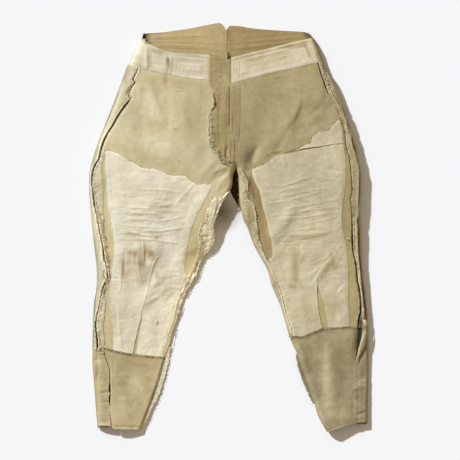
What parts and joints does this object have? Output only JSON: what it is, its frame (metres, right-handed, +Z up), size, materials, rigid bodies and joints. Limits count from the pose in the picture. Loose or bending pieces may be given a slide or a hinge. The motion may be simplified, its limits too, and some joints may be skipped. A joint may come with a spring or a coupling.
{
  "type": "uniform riding breeches laid flat inside out",
  "caption": "Khaki drill riding breeches turned inside out and laid flat front up, with cream knee linings, waist facing, open fly facing and laced calf openings.",
  "frame": {"origin": "centre of the laid garment's outline on the surface it lies on", "axes": "+Y towards the waist, +Z up from the surface, +X towards the side that is right in the picture"},
  "size_m": [0.6723, 0.98, 0.0339],
  "materials": {
    "drill": "matt khaki cotton drill, its inner side, sun-faded and lightly soiled",
    "lining_cotton": "matt cream plain-weave cotton with brown stains",
    "hook_metal": "dark rusted wire"
  },
  "bodies": {
    "root": {"front_l": "drill", "front_r": "drill", "back_l": "drill", "back_r": "drill", "calf_front_l": "drill", "calf_front_r": "drill", "calf_back_l": "drill", "calf_back_r": "drill", "fly_facing_l": "drill", "fly_facing_r": "drill", "placket_facing_r": "drill", "placket_flap_r": "drill", "knee_lining_l": "lining_cotton", "knee_lining_r": "lining_cotton", "lining_wedge_r": "lining_cotton", "waist_facing_l": "lining_cotton", "waist_facing_r": "lining_cotton", "side_allowance_front_l": "drill", "side_allowance_front_r": "drill", "side_allowance_back_l": "drill", "side_allowance_back_r": "drill", "inseam_allowance_l": "drill", "inseam_allowance_r": "drill", "calf_allowance_l": "drill", "calf_allowance_r": "drill", "waist_hook": "hook_metal"}
  },
  "joints": []
}
